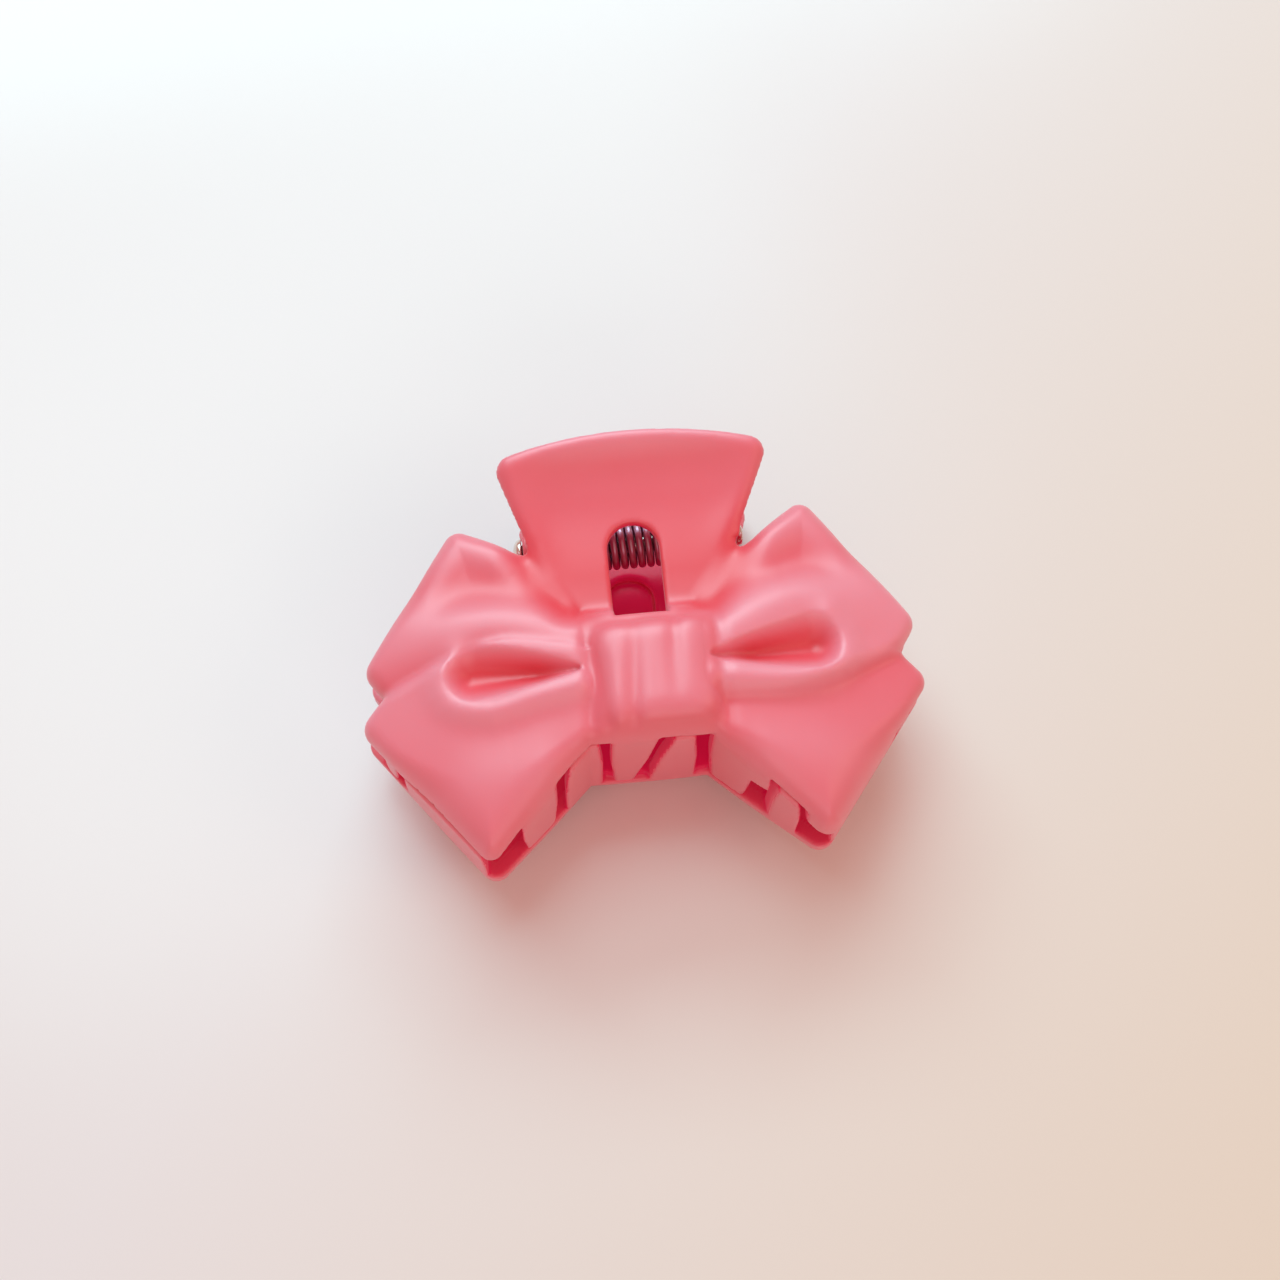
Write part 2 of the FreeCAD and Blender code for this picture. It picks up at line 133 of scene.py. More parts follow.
PIN_RADIUS = 0.9
PIN_PLAY = 0.05
PIN_END_X = 11.9
HEAD_RADIUS = 1.56
HEAD_HEIGHT = 0.74
LUG_RADIUS = 2.5
LUG_ROOT = 7.0
LUGS = [(9.4, 11.55), (-9.2, -7.6)]

COIL_RADIUS = 2.3
WIRE_RADIUS = 0.43
COIL_PITCH = 0.95
LEG_ANGLE = 36.5
LEG_LENGTH = 10.6
COIL_LENGTH = 12.75
HALF_TURNS = 26


# ---------------------------------------------------------------- shape functions
def smooth_max(a, b, k):
    """The larger of two fields, rounded over a band of width k."""
    h = np.maximum(k - np.abs(a - b), 0.0) / k
    return np.maximum(a, b) + h * h * k * 0.25


def smooth_min(a, b, k):
    """The smaller of two fields, rounded over a band of width k."""
    return -smooth_max(-a, -b, k)


def ramp(value, start, end):
    """0 before start, 1 after end, and smooth between."""
    t = np.clip((value - start) / (end - start), 0.0, 1.0)
    return t * t * (3.0 - 2.0 * t)


def spline(points, count=14):
    """Points along a smooth curve through the given ones."""
    p = np.array([points[0]] + list(points) + [points[-1]], dtype=float)
    spans = len(points) - 1
    out = []
    for t in np.linspace(0.0, spans, count):
        i = min(int(t), spans - 1)
        u = t - i
        a, b, c, d = p[i : i + 4]
        out.append(
            0.5 * (2 * b + (c - a) * u + (2 * a - 5 * b + 4 * c - d) * u**2 + (3 * b - a - 3 * c + d) * u**3)
        )
    return np.array(out)


def along(x, y, line):
    """Distance to a line of points, the fraction of the way along it, and the side (+ is left of travel)."""
    lengths = np.hypot(*(line[1:] - line[:-1]).T)
    total = lengths.sum()
    shape = np.broadcast(x, y).shape
    best = np.full(shape, 1e9)
    place = np.zeros(shape)
    side = np.zeros(shape)
    walked = 0.0
    for (ax, ay), (bx, by), length in zip(line[:-1], line[1:], lengths):
        ux, uy = (bx - ax) / length, (by - ay) / length
        t = np.clip((x - ax) * ux + (y - ay) * uy, 0.0, length)
        dx, dy = x - ax - t * ux, y - ay - t * uy
        d = np.hypot(dx, dy)
        nearer = d < best
        best = np.where(nearer, d, best)
        place = np.where(nearer, (walked + t) / total, place)
        side = np.where(nearer, ux * (y - ay) - uy * (x - ax), side)
        walked += length
    return best, place, side


def polygon_distance(x, y, corners):
    """Signed distance to a closed polygon, negative inside."""
    shape = np.broadcast(x, y).shape
    best = np.full(shape, 1e9)
    inside = np.zeros(shape, dtype=bool)
    for (ax, ay), (bx, by) in zip(corners, corners[1:] + corners[:1]):
        ex, ey = bx - ax, by - ay
        t = np.clip(((x - ax) * ex + (y - ay) * ey) / (ex * ex + ey * ey), 0.0, 1.0)
        best = np.minimum(best, np.hypot(x - ax - t * ex, y - ay - t * ey))
        if ay != by:
            crosses = (ay > y) != (by > y)
            inside ^= crosses & (x < ax + (y - ay) * ex / ey)
    return np.where(inside, -best, best)


def inset(corners, distance):
    """A counter-clockwise polygon moved in by a distance."""
    result = []
    count = len(corners)
    for i in range(count):
        (ax, ay), (bx, by), (cx, cy) = corners[i - 1], corners[i], corners[(i + 1) % count]
        first = Vector((bx - ax, by - ay)).normalized()
        second = Vector((cx - bx, cy - by)).normalized()
        n1 = Vector((-first.y, first.x))
        n2 = Vector((-second.y, second.x))
        scale = distance / (1.0 + n1.dot(n2))
        result.append((bx + (n1.x + n2.x) * scale, by + (n1.y + n2.y) * scale))
    return result


# ---------------------------------------------------------------- the bow
RIGHT_SIDE = [RIGHT_SHOULDER if point == OUTLINE[1] else point for point in OUTLINE]
BOW_CORNERS = inset([(-x, y) for x, y in OUTLINE] + RIGHT_SIDE[::-1], CORNER_ROUND)


def bow_outline(x, y):
    """Signed distance to the bow's outline."""
    return polygon_distance(x, y, BOW_CORNERS) - CORNER_ROUND


RIGHT_CREASE = spline([(6.8, -2.9), (14.4, -3.0), (21.0, -1.2), (28.6, 2.0)])
LEFT_CREASE = spline([(6.6, 3.4), (11.0, 4.6), (15.4, 5.2), (21.2, 3.7), (29.6, 0.7)])
RIGHT_LIP = spline([(6.4, -0.9), (12.0, -1.5), (16.4, -1.7), (20.2, -0.6), (21.4, 2.2), (19.8, 5.0)])
LEFT_LIP = spline([(6.4, -0.6), (11.4, -1.3), (16.4, -2.2), (20.2, -0.9), (21.2, 1.8), (19.6, 4.2)])
RIGHT_CREST = spline([(6.8, 3.2), (12.0, 5.6), (18.0, 7.4), (28.5, 6.4)])
LEFT_CREST = spline([(6.8, 5.4), (12.0, 7.0), (18.0, 7.6), (28.5, 6.0)])
RIGHT_VALLEY = spline([(8.6, 8.6), (14.0, 11.2), (22.4, 12.2)])
LEFT_VALLEY = spline([(8.6, 8.8), (15.2, 11.4), (22.6, 12.0)])
SEAM = spline([(6.9, 8.2), (8.6, 11.4), (10.8, 15.2)], 6)  # where a wing meets the handle
HOLLOW = ((7.0, 1.15), (17.6, 2.2))
HOLLOW_RADII = (0.35, 2.25)


def ridge(x, y, line, height, width, fade=0.0):
    """A soft ridge along a line, fading out over its last part."""
    d, place, _ = along(x, y, line)
    tail = 1.0 - fade * ramp(place, 0.5, 1.0)
    return height * tail * np.exp(-((d / width) ** 2))


def hollow(x, y):
    """The teardrop beside the knot: how deep it is pressed, 0 to 1."""
    (ax, ay), (bx, by) = HOLLOW
    d, place, _ = along(x, y, np.array(HOLLOW))
    radius = HOLLOW_RADII[0] + (HOLLOW_RADII[1] - HOLLOW_RADII[0]) * place**0.8
    inside = np.clip(1.0 - (d / (radius * 1.5)) ** 2, 0.0, 1.0)
    return inside * inside * (0.35 + 0.65 * ramp(place, 0.0, 0.45))


def lap(x, y, line, raised_left, lift, reach, sink):
    """A fold that laps over its neighbour along a line, as a change of height."""
    d, place, side = along(x, y, line)
    signed = np.sign(side) * d
    if not raised_left:
        signed = -signed
    strength = 0.55 + 0.45 * ramp(place, 0.15, 0.75)
    up = ramp(signed, -0.5, 1.3) * np.exp(-np.maximum(signed, 0.0) / reach)
    down = ramp(-signed, -0.4, 1.0) * np.exp(-np.maximum(-signed, 0.0) / (0.6 * reach))
    return strength * (lift * up - sink * down)


def wing(u, y, right):
    """Height of a wing's cloth over the base, u being the distance from the middle."""
    crease = RIGHT_CREASE if right else LEFT_CREASE
    lip = RIGHT_LIP if right else LEFT_LIP
    crest = RIGHT_CREST if right else LEFT_CREST
    valley = RIGHT_VALLEY if right else LEFT_VALLEY
    h = lap(u, y, crease, right, 0.75, 5.0, 0.65)
    h = h + ridge(u, y, crest, 1.0, 3.3, 0.4)
    h = h - ridge(u, y, valley, 0.8, 3.0, 0.3)
    pressed = hollow(u, y)
    h = h + ridge(u, y, lip, 1.0, 1.6, 0.5) * (1.0 - pressed) ** 2
    h = h - 2.0 * pressed
    h = h + 0.35 * np.exp(-(((y + 9.0) / 3.0) ** 2)) * ramp(u, 8.0, 12.0) * (1.0 - ramp(u, 17.0, 24.0))
    return h


def plain_dome(x, y):
    """The bow's height without its folds, flatter towards the teeth."""
    return CREST - x * x / 150.0 - (y - 2.5) ** 2 / np.where(y > 2.5, 150.0, 225.0)


def bow_height(x, y):
    """The bow's outer face as a height over the plane where the jaws meet."""
    u = np.abs(x)
    base = plain_dome(x, y)
    folds = np.where(x > 0, wing(u, y, True), wing(u, y, False)) * ramp(u, 4.6, 6.8)
    edge = bow_outline(x, y)
    tuck = u - 7.0 - np.where(x > 0, KNOT_LEAN, -KNOT_LEAN)
    base = base - 0.3 * np.exp(-((tuck / 0.8) ** 2)) * (1.0 - ramp(np.abs(y), 5.5, 8.0))
    seam, _, _ = along(u, y, SEAM)
    base = base - 1.5 * np.exp(-((seam / 2.4) ** 2))
    rim = 0.55 * np.exp(-(((edge + 2.0) / 1.8) ** 2)) * ramp(y, 6.0, 12.0) * ramp(u, 11.0, 15.0)
    return base + folds + rim


def hollow_height(x, y, outer):
    """The shell's inner face: a plain dome, kept clear of the deepest folds."""
    dome = CREST - SHELL - 0.15 - x * x / 136.0 - y * y / 132.0
    return smooth_min(dome, outer - SHELL_LEAST, 0.8)


def tooth_tip(x, y):
    """How far down this jaw's teeth reach, just short of the other jaw's shell."""
    return -(CREST - SHELL - TOOTH_END_GAP - x * x / 130.0 - y * y / 130.0)


def owned_span(x, z, owner):
    """Negative within the stretches of wall that this jaw's teeth take, by the front jaw's X and Z."""
    front = owner == "front"
    gaps = [(-FAR, 0.0, 0.0, False)] + GAPS + [(FAR, 0.0, 0.0, False)]
    best = np.full(np.broadcast(x, z).shape, 1e9)
    taper = 0.06 * np.clip(-z if front else z, 0.0, 6.0)
    closing = ramp(z, 1.4, 2.6) if front else 0.0

    def shift(width, closes):
        return (width - SHOULDER_GAP) * closing if closes else 0.0

    for i in range(1 if front else 0, len(gaps) - 1, 2):
        place, width, lean, closes = gaps[i]
        left = place + lean * z + width / 2 + taper - shift(width, closes)
        place, width, lean, closes = gaps[i + 1]
        right = place + lean * z - width / 2 - taper + shift(width, closes)
        best = np.minimum(best, np.maximum(left - x, x - right))
    return best


# ---------------------------------------------------------------- the handle
(LOW_X, LOW_Y), (TIP_X, TIP_Y) = HANDLE_SIDE[-2:]
END_RISE = HANDLE_END_Y - TIP_Y
END_RADIUS = (TIP_X**2 + END_RISE**2) / (2 * END_RISE)


def handle_corners():
    """The finger plate's outline: straight sides and an arc across the end."""
    half = math.asin(TIP_X / END_RADIUS)
    arc = []
    for t in np.linspace(half, -half, 15)[1:-1]:
        arc.append((END_RADIUS * math.sin(t), HANDLE_END_Y - END_RADIUS + END_RADIUS * math.cos(t)))
    left = [(-x, y) for x, y in reversed(HANDLE_SIDE)]
    return HANDLE_SIDE + arc + left


HANDLE_ROUND = 1.8
HANDLE_CORNERS = inset(handle_corners(), HANDLE_ROUND)


def plate_depth(y, z):
    """Depth under the finger plate's outer face."""
    return np.hypot(y - HANDLE_BEND_Y, z - HANDLE_WAIST - HANDLE_BEND) - HANDLE_BEND


def handle_across(x, y, owner):
    """Distance across a handle's fan: the front one spreads more to the right, the back one is narrower."""
    if owner == "back":
        return (x + BACK_LEAN) / BACK_SPREAD
    across = x - LEAN
    return np.where(across > 0, across / (1.0 + RIGHT_SPREAD * ramp(y, 15.0, 25.0)), across)


def handle_fan(x, y, owner):
    """Signed distance to the finger plate's outline."""
    return polygon_distance(handle_across(x, y, owner), y, HANDLE_CORNERS) - HANDLE_ROUND


def handle(x, y, z, owner):
    """The finger plate: a bent, slightly dished fan with a softly rolled lip."""
    fan = handle_fan(x, y, owner)
    across = np.abs(handle_across(x, y, owner))
    side = across - LOW_X - (TIP_X - LOW_X) * (y - LOW_Y) / (TIP_Y - LOW_Y)
    end = np.hypot(across, y - HANDLE_END_Y + END_RADIUS) - END_RADIUS
    edge = np.exp(-(((smooth_max(side, end, 6.0) + 0.5) / 2.3) ** 2))
    dish = 0.7 * (1.0 - edge) * ramp(y, 12.0, 20.0)
    half = (HANDLE_THICKNESS - dish) / 2
    sheet = np.abs(plate_depth(y, z) - HANDLE_THICKNESS + half) - half
    return smooth_max(fan, sheet, 1.9)


def slot(x, y, owner):
    """The arched opening over the spring, which stops lower in the back plate."""
    top = SLOT_ARCH_Y if owner == "front" else SLOT_ARCH_Y - BACK_SLOT_DROP
    arch = np.hypot(x - LEAN / 2, np.maximum(y - top, 0.0)) - SLOT_HALF
    return np.maximum(arch, SLOT_FOOT_Y - y)


def lug(x, y, z, left, right):
    """An ear under the handle that holds the pin."""
    across = np.maximum(left - x, x - right)
    eye = np.hypot(y - PIVOT_Y, np.minimum(z, 0.0)) - LUG_RADIUS
    eye = np.maximum(eye, z - LUG_ROOT)
    return smooth_max(across, eye, 0.4)


# ---------------------------------------------------------------- the knot
def knot_across(x, owner):
    """Distance across the knot, which sits a little to the right on both jaws as the clip lies."""
    return x - TURN[owner] * KNOT_LEAN


def knot_crown(x, y):
    """The knot's face before it is pleated."""
    return KNOT_TOP - KNOT_ARCH * (x / KNOT_HALF[0]) ** 2 - KNOT_ARCH * (y / KNOT_HALF[1]) ** 4


def knot(x, y, z):
    """The band wrapped over the middle, pleated and a little slack."""
    pinch = 0.35 * np.exp(-((y / 3.6) ** 2))
    width = KNOT_HALF_WIDTH - pinch + 0.012 * (x * y) / 6.0
    skew = y - 0.02 * x
    crown = knot_crown(x, y)
    # each pleat's line from the top down, its depth and reach, and its strength at the top and at the bottom
    pleats = [
        (spline([(-1.9, 6.6), (-1.9, 3.2), (-2.4, -2.0), (-2.9, -7.2)], 8), 0.62, 1.05, 0.25, 1.0),
        (spline([(2.5, 6.6), (2.3, 4.0), (2.0, 0.4), (1.9, -4.0)], 8), 0.42, 0.9, 1.0, 0.15),
        (spline([(-6.0, 1.5), (-5.6, -2.4), (-5.2, -7.0)], 8), 0.55, 0.9, 0.1, 1.0),
    ]
    for line, depth, reach, top, bottom in pleats:
        d, place, side = along(x, y, line)
        strength = top + (bottom - top) * place
        crown = crown - depth * strength * np.exp(-((d / reach) ** 2))
        crown = crown + 0.25 * depth * strength * ramp(np.sign(side) * d, 0.0, 1.0) * np.exp(-d / 1.6)
    sides = smooth_max(np.abs(x) - width, np.abs(skew) - KNOT_END_Y, 2.4)
    block = smooth_max(sides, z - np.minimum(crown, KNOT_TOP), 3.2)
    return np.maximum(block, KNOT_BASE - z)


# ---------------------------------------------------------------- a whole jaw
def jaw_field(x, y, z, owner):
    """Negative inside the jaw, in its own frame."""
    outline = bow_outline(x, y)
    outer = bow_height(x, y)
    softness = 1.7 + 2.3 * ramp(-y, 4.0, 10.0) if owner == "front" else 1.3
    solid = smooth_max(z - outer, outline, softness)
    inner = hollow_height(x, y, outer)
    space = smooth_max(z - inner, outline + WALL, softness - 0.6)
    shell = smooth_max(solid, -space, 0.35)
    open_back = np.maximum(TEETH_FROM_Y - y, z - RIM_HEIGHT)
    span = owned_span(x * TURN[owner], z * TURN[owner], owner)
    tooth = smooth_max(span, tooth_tip(x, y) - z, 0.5)
    kept = smooth_min(inner - 0.05 - z, tooth, 0.5)
    open_front = np.maximum(y - TEETH_FROM_Y - RIM_TO_TOOTH, -kept)
    field = smooth_max(smooth_max(shell, -open_back, 0.4), -open_front, 0.4)
    field = smooth_min(field, handle(x, y, z, owner), 1.8)
    opening = slot(x, y, owner)
    if owner == "back":
        opening = np.maximum(opening, SLOT_WEB - plate_depth(y, z))
    field = smooth_max(field, -opening, 0.4)
    for left, right in LUGS:
        field = smooth_min(field, lug(x, y, z, left, right), 0.5)
    field = smooth_min(field, knot(knot_across(x, owner), y, z), 0.6)
    bore = np.hypot(y - PIVOT_Y, z) - (PIN_RADIUS + PIN_PLAY)
    field = smooth_max(field, -bore, 0.2)
    return field


CELL_CORNERS = [(i, j, k) for i in (0, 1) for j in (0, 1) for k in (0, 1)]


def of_cells(array, corner):
    """The array's values at one corner of every grid cell."""
    return array[tuple(slice(o, o + n - 1) for o, n in zip(corner, array.shape))]


def crossing_points(field, mixed):
    """For each mixed cell, the mean of the places where its edges cross zero, in grid units."""
    values = {corner: of_cells(field, corner)[mixed] for corner in CELL_CORNERS}
    total = np.zeros((mixed.sum(), 3))
    hits = np.zeros(mixed.sum())
    for a in CELL_CORNERS:
        for axis in range(3):
            if a[axis]:
                continue
            b = tuple(1 if i == axis else v for i, v in enumerate(a))
            fa, fb = values[a], values[b]
            cross = (fa < 0) != (fb < 0)
            t = np.where(cross, fa / np.where(cross, fa - fb, 1.0), 0.0)
            point = np.array(a, dtype=float)[None, :] + np.zeros((len(t), 3))
            point[:, axis] = t
            total += point * cross[:, None]
            hits += cross
    return np.argwhere(mixed) + total / hits[:, None]


def quads_across(inside, number, axis):
    """The quads between cells around each grid edge along an axis that crosses zero."""
    one, two = (axis + 1) % 3, (axis + 2) % 3
    first = [slice(None)] * 3
    first[axis] = slice(0, -1)
    last = [slice(None)] * 3
    last[axis] = slice(1, None)
    a, b = inside[tuple(first)], inside[tuple(last)]
    crossing = np.argwhere(a != b)
    keep = np.ones(len(crossing), dtype=bool)
    for other in (one, two):
        keep &= (crossing[:, other] > 0) & (crossing[:, other] < inside.shape[other] - 1)
    crossing = crossing[keep]
    starts_inside = a[tuple(crossing.T)]
    ring = []
    for d1, d2 in ((-1, -1), (0, -1), (0, 0), (-1, 0)):
        cell = crossing.copy()
        cell[:, one] += d1
        cell[:, two] += d2
        ring.append(number[tuple(cell.T)])
    quad = np.stack(ring, axis=1)
    quad[~starts_inside] = quad[~starts_inside][:, ::-1]
    return quad


def surface(field, low, step_size):
    """The zero surface of a sampled field: a point in each cell that it crosses and the quads between."""
    inside = field < 0
    count = sum(of_cells(inside, corner).astype(np.int8) for corner in CELL_CORNERS)
    mixed = (count > 0) & (count < len(CELL_CORNERS))
    number = np.full(mixed.shape, -1, dtype=np.int64)
    number[mixed] = np.arange(mixed.sum())
    points = crossing_points(field, mixed) * step_size + np.array(low)
    return points, np.concatenate([quads_across(inside, number, axis) for axis in range(3)])


def settle(points, owner, rounds=2):
    """Moves the points onto the exact surface, along the field's slope."""
    gap = 0.06
    for _ in range(rounds):
        x, y, z = points.T
        value = jaw_field(x, y, z, owner)
        slope = np.stack(
            [
                jaw_field(x + gap, y, z, owner) - jaw_field(x - gap, y, z, owner),
                jaw_field(x, y + gap, z, owner) - jaw_field(x, y - gap, z, owner),
                jaw_field(x, y, z + gap, owner) - jaw_field(x, y, z - gap, owner),
            ],
            axis=1,
        ) / (2 * gap)
        steep = np.maximum((slope**2).sum(axis=1), 0.25)
        move = -slope * (value / steep)[:, None]
        length = np.maximum(np.linalg.norm(move, axis=1, keepdims=True), 1e-9)
        points = points + move * np.minimum(1.0, 0.3 * STEP / length)
    return points


def lining(points, owner):
    """0 on the soft outside, 1 on the bare inside and between the teeth, 2 in the back slot's pocket, which
    the material paints darker as shade.
    """
    x, y, z = points.T
    outline = bow_outline(x, y)
    outer = bow_height(x, y)
    inner = hollow_height(x, y, outer)
    within = 1.0 - ramp(outline + WALL, -0.15, 0.15)
    hidden = within * (1.0 - ramp(z - inner, -0.05, 0.25))
    depth = plate_depth(y, z)
    in_fan = 1.0 - ramp(handle_fan(x, y, owner), -0.25, 0.1)
    under = ramp(depth, 1.45, 1.7) * ramp(y, 5.0, 6.5) * in_fan * ramp(7.5 - depth, 0.0, 1.0)
    opening = slot(x, y, owner)
    in_slot = (1.0 - ramp(opening, 0.0, 0.3)) * ramp(depth, 0.8, 1.2)
    span = owned_span(x * TURN[owner], z * TURN[owner], owner)
    cut = ramp(span, -0.28, -0.12) * (1.0 - ramp(y, TEETH_FROM_Y - 0.4, TEETH_FROM_Y))
    cut = cut * (1.0 - ramp(z - inner, -0.3, 0.3))
    bare = np.maximum(np.maximum(hidden, under), np.maximum(in_slot, cut))
    # the back slot's pocket, where the material paints shade
    pocket = (1.0 - ramp(opening, -0.25, -0.05)) * (1.0 - ramp(depth, 0.85, 1.1)) * ramp(depth, 0.3, 0.5)
    return np.clip(bare, 0.0, 1.0) + (pocket if owner == "back" else 0.0)


def painted_shading(points, owner):
    """Painted light and shade on the coating: 0 for painted shade deep in the folds, 1 for painted highlight
    along the crests and lips.
    """
    x, y, z = points.T
    tone = ramp(bow_height(x, y) - plain_dome(x, y), -1.7, 1.3)
    # painted highlight on the handle: lighter towards its rolled lip, darker down by the slot
    on_handle = (1.0 - ramp(handle_fan(x, y, owner), -0.3, 0.3)) * ramp(y, 7.0, 10.0)
    tone = tone + on_handle * (0.05 + 0.4 * ramp(y, 13.0, 22.0) + 0.55 * ramp(y, 23.5, 26.6) - tone)
    # painted light on the knot: lighter over its crown, painted shade where the pleats sink
    knot_x = knot_across(x, owner)
    on_knot = (1.0 - ramp(np.abs(knot_x), 6.2, 7.0)) * (1.0 - ramp(np.abs(y), 5.6, 7.0))
    sunk = knot_crown(knot_x, y) - z
    return tone + on_knot * (0.72 - 0.25 * ramp(sunk, 0.1, 1.0) - tone)


def make_mesh(name, points, faces):
    """A smooth-shaded object from points in metres."""
    mesh = bpy.data.meshes.new(name)
    mesh.from_pydata([tuple(p) for p in points], [], [tuple(int(i) for i in f) for f in faces])
    mesh.validate()
    mesh.update()
    mesh.polygons.foreach_set("use_smooth", [True] * len(mesh.polygons))
    piece = bpy.data.objects.new(name, mesh)
    bpy.context.scene.collection.objects.link(piece)
    return piece


def placed(points, owner):
    """From a jaw's frame in millimetres to the row frame in metres."""
    turn = TURN[owner]
    x = HINGE.x + points[:, 0] * turn * MM
    y = HINGE.y + (points[:, 1] - PIVOT_Y) * MM
    z = HINGE.z + points[:, 2] * turn * MM
    return np.stack([x, y, z], axis=1)


def jaw(owner):
    """One moulding, with the lining and the painted light and shade that its material reads."""
    low = (-31.2, -19.2, -8.4)
    high = (31.2, 28.2, 12.9)
    axes = [np.arange(a, b, STEP) for a, b in zip(low, high)]
    x, y, z = np.meshgrid(*axes, indexing="ij", sparse=True)
    field = jaw_field(x, y, z, owner)
    points, quads = surface(field, low, STEP)
    points = settle(points, owner)
    piece = make_mesh(owner + "_jaw_moulding", placed(points, owner), quads)
    for name, values in (("lining", lining(points, owner)), ("painted_shading", painted_shading(points, owner))):
        layer = piece.data.attributes.new(name, "FLOAT", "POINT")
        layer.data.foreach_set("value", values.astype(np.float32))
    return piece


# ---------------------------------------------------------------- metal
def tube(name, path, radius, sides=12):
    """A round wire along a line of points, with rounded ends."""
    path = [Vector(p) for p in path]
    mesh_points, faces = [], []
    normal = Vector((1, 0, 0)).cross(path[1] - path[0]).normalized()
    for i, here in enumerate(path):
        ahead = path[min(i + 1, len(path) - 1)] - path[max(i - 1, 0)]
        ahead.normalize()
        normal = (normal - ahead * normal.dot(ahead)).normalized()
        side = ahead.cross(normal)
        for j in range(sides):
            a = 2 * math.pi * j / sides
            mesh_points.append(here + (normal * math.cos(a) + side * math.sin(a)) * radius)
    for i in range(len(path) - 1):
        for j in range(sides):
            k = (j + 1) % sides
            a, b = i * sides, (i + 1) * sides
            faces.append((a + j, a + k, b + k, b + j))
    for base, here, sign in ((0, path[0], -1), ((len(path) - 1) * sides, path[-1], 1)):
        ahead = (path[1] - path[0]) if sign < 0 else (path[-1] - path[-2])
        tip = len(mesh_points)
        mesh_points.append(here + ahead.normalized() * radius * 0.35 * sign)
        for j in range(sides):
            k = (j + 1) % sides
            corner = (base + j, base + k, tip)
            faces.append(corner if sign > 0 else corner[::-1])
    return make_mesh(name, mesh_points, faces)


def coil_spring():
    """The close-wound spring on the pin, with a leg against each handle."""
    sweep = math.pi * HALF_TURNS + math.radians(180.0 - 2 * LEG_ANGLE)
    start = math.radians(90.0 + LEG_ANGLE)
    steps = HALF_TURNS * 12
    path = []
    for i in range(steps + 1):
        turn = sweep * i / steps
        angle = start + turn
        x = -COIL_LENGTH / 2 + COIL_PITCH * turn / (2 * math.pi)
        path.append(Vector((x, COIL_RADIUS * math.cos(angle), COIL_RADIUS * math.sin(angle))))
    legs = []
    for end, near in ((path[0], path[1]), (path[-1], path[-2])):
        away = end - near
        away.x = 0.0
        away.normalize()
        legs.append([end + away * LEG_LENGTH * t for t in (1.0, 0.75, 0.5, 0.25, 0.06)])
    points = legs[0] + path + legs[1][::-1]
    return tube("coil_spring", [HINGE + p * MM for p in points], WIRE_RADIUS * MM)


def lathe(name, profile, sides=48):
    """A turned piece about the pin's axis: profile is pairs of place along X and radius."""
    points, faces = [], []
    for x, r in profile:
        for j in range(sides):
            a = 2 * math.pi * j / sides
            points.append(HINGE + Vector((x, r * math.cos(a), r * math.sin(a))) * MM)
    for i in range(len(profile) - 1):
        for j in range(sides):
            k = (j + 1) % sides
            faces.append((i * sides + j, i * sides + k, (i + 1) * sides + k, (i + 1) * sides + j))
    for ring, flip in ((0, False), (len(profile) - 1, True)):
        x = profile[ring][0]
        centre = len(points)
        points.append(HINGE + Vector((x, 0, 0)) * MM)
        for j in range(sides):
            k = (j + 1) % sides
            corner = (ring * sides + j, ring * sides + k, centre)
            faces.append(corner[::-1] if not flip else corner)
    piece = make_mesh(name, points, faces)
    shape = bmesh.new()
    shape.from_mesh(piece.data)
    bmesh.ops.recalc_face_normals(shape, faces=shape.faces)
    shape.to_mesh(piece.data)
    shape.free()
    return piece


def hinge_rivet():
    """The pin: a domed head with a small skirt, the shaft, and an upset tail."""
    head = []
    for t in np.linspace(0.08, 1.0, 10):
        a = t * math.pi / 2
        head.append((-PIN_END_X - HEAD_HEIGHT * math.cos(a), HEAD_RADIUS * math.sin(a)))
    body = [(-PIN_END_X + 0.12, 1.6), (-PIN_END_X + 0.2, 1.45), (-PIN_END_X + 0.22, PIN_RADIUS)]
    tail = [
        (PIN_END_X - 0.02, PIN_RADIUS),
        (PIN_END_X, 1.02),
        (PIN_END_X + 0.3, 1.16),
        (PIN_END_X + 0.62, 1.1),
        (PIN_END_X + 0.74, 0.85),
        (PIN_END_X + 0.62, 0.4),
    ]
    return lathe("hinge_rivet", head + body + tail)


# ---------------------------------------------------------------- materials
class Nodes:
    """Shorthand for building a material's node tree."""

    def __init__(self, name):
        self.material = bpy.data.materials.new(name)
        self.material.use_nodes = True
        self.tree = self.material.node_tree
        self.shader = self.tree.nodes["Principled BSDF"]

    def new(self, kind, **values):
        node = self.tree.nodes.new("ShaderNode" + kind)
        for key, value in values.items():
            if key in node.inputs:
                node.inputs[key].default_value = value
            else:
                setattr(node, key, value)
        return node

    def link(self, source, target):
        self.tree.links.new(source, target)

    def noise(self, scale, detail=3.0):
        place = self.new("TexCoord")
        noise = self.new("TexNoise", Scale=scale, Detail=detail)
        self.link(place.outputs["Object"], noise.inputs["Vector"])
        return noise.outputs["Fac"]

    def mix(self, factor, a, b):
        mix = self.new("Mix", data_type="RGBA")
        self.link(factor, mix.inputs[0])
        for socket, value in ((mix.inputs[6], a), (mix.inputs[7], b)):
            if isinstance(value, tuple):
                socket.default_value = value
            else:
                self.link(value, socket)
        return mix.outputs[2]

    def span(self, factor, low, high):
        spread = self.new("MapRange")
        self.link(factor, spread.inputs["Value"])
        for name, value in (("To Min", low), ("To Max", high)):
            if isinstance(value, (int, float)):
                spread.inputs[name].default_value = value
            else:
                self.link(value, spread.inputs[name])
        return spread.outputs["Result"]

    def bump(self, height, strength, distance):
        bump = self.new("Bump", Strength=strength, Distance=distance)
        self.link(height, bump.inputs["Height"])
        self.link(bump.outputs["Normal"], self.shader.inputs["Normal"])


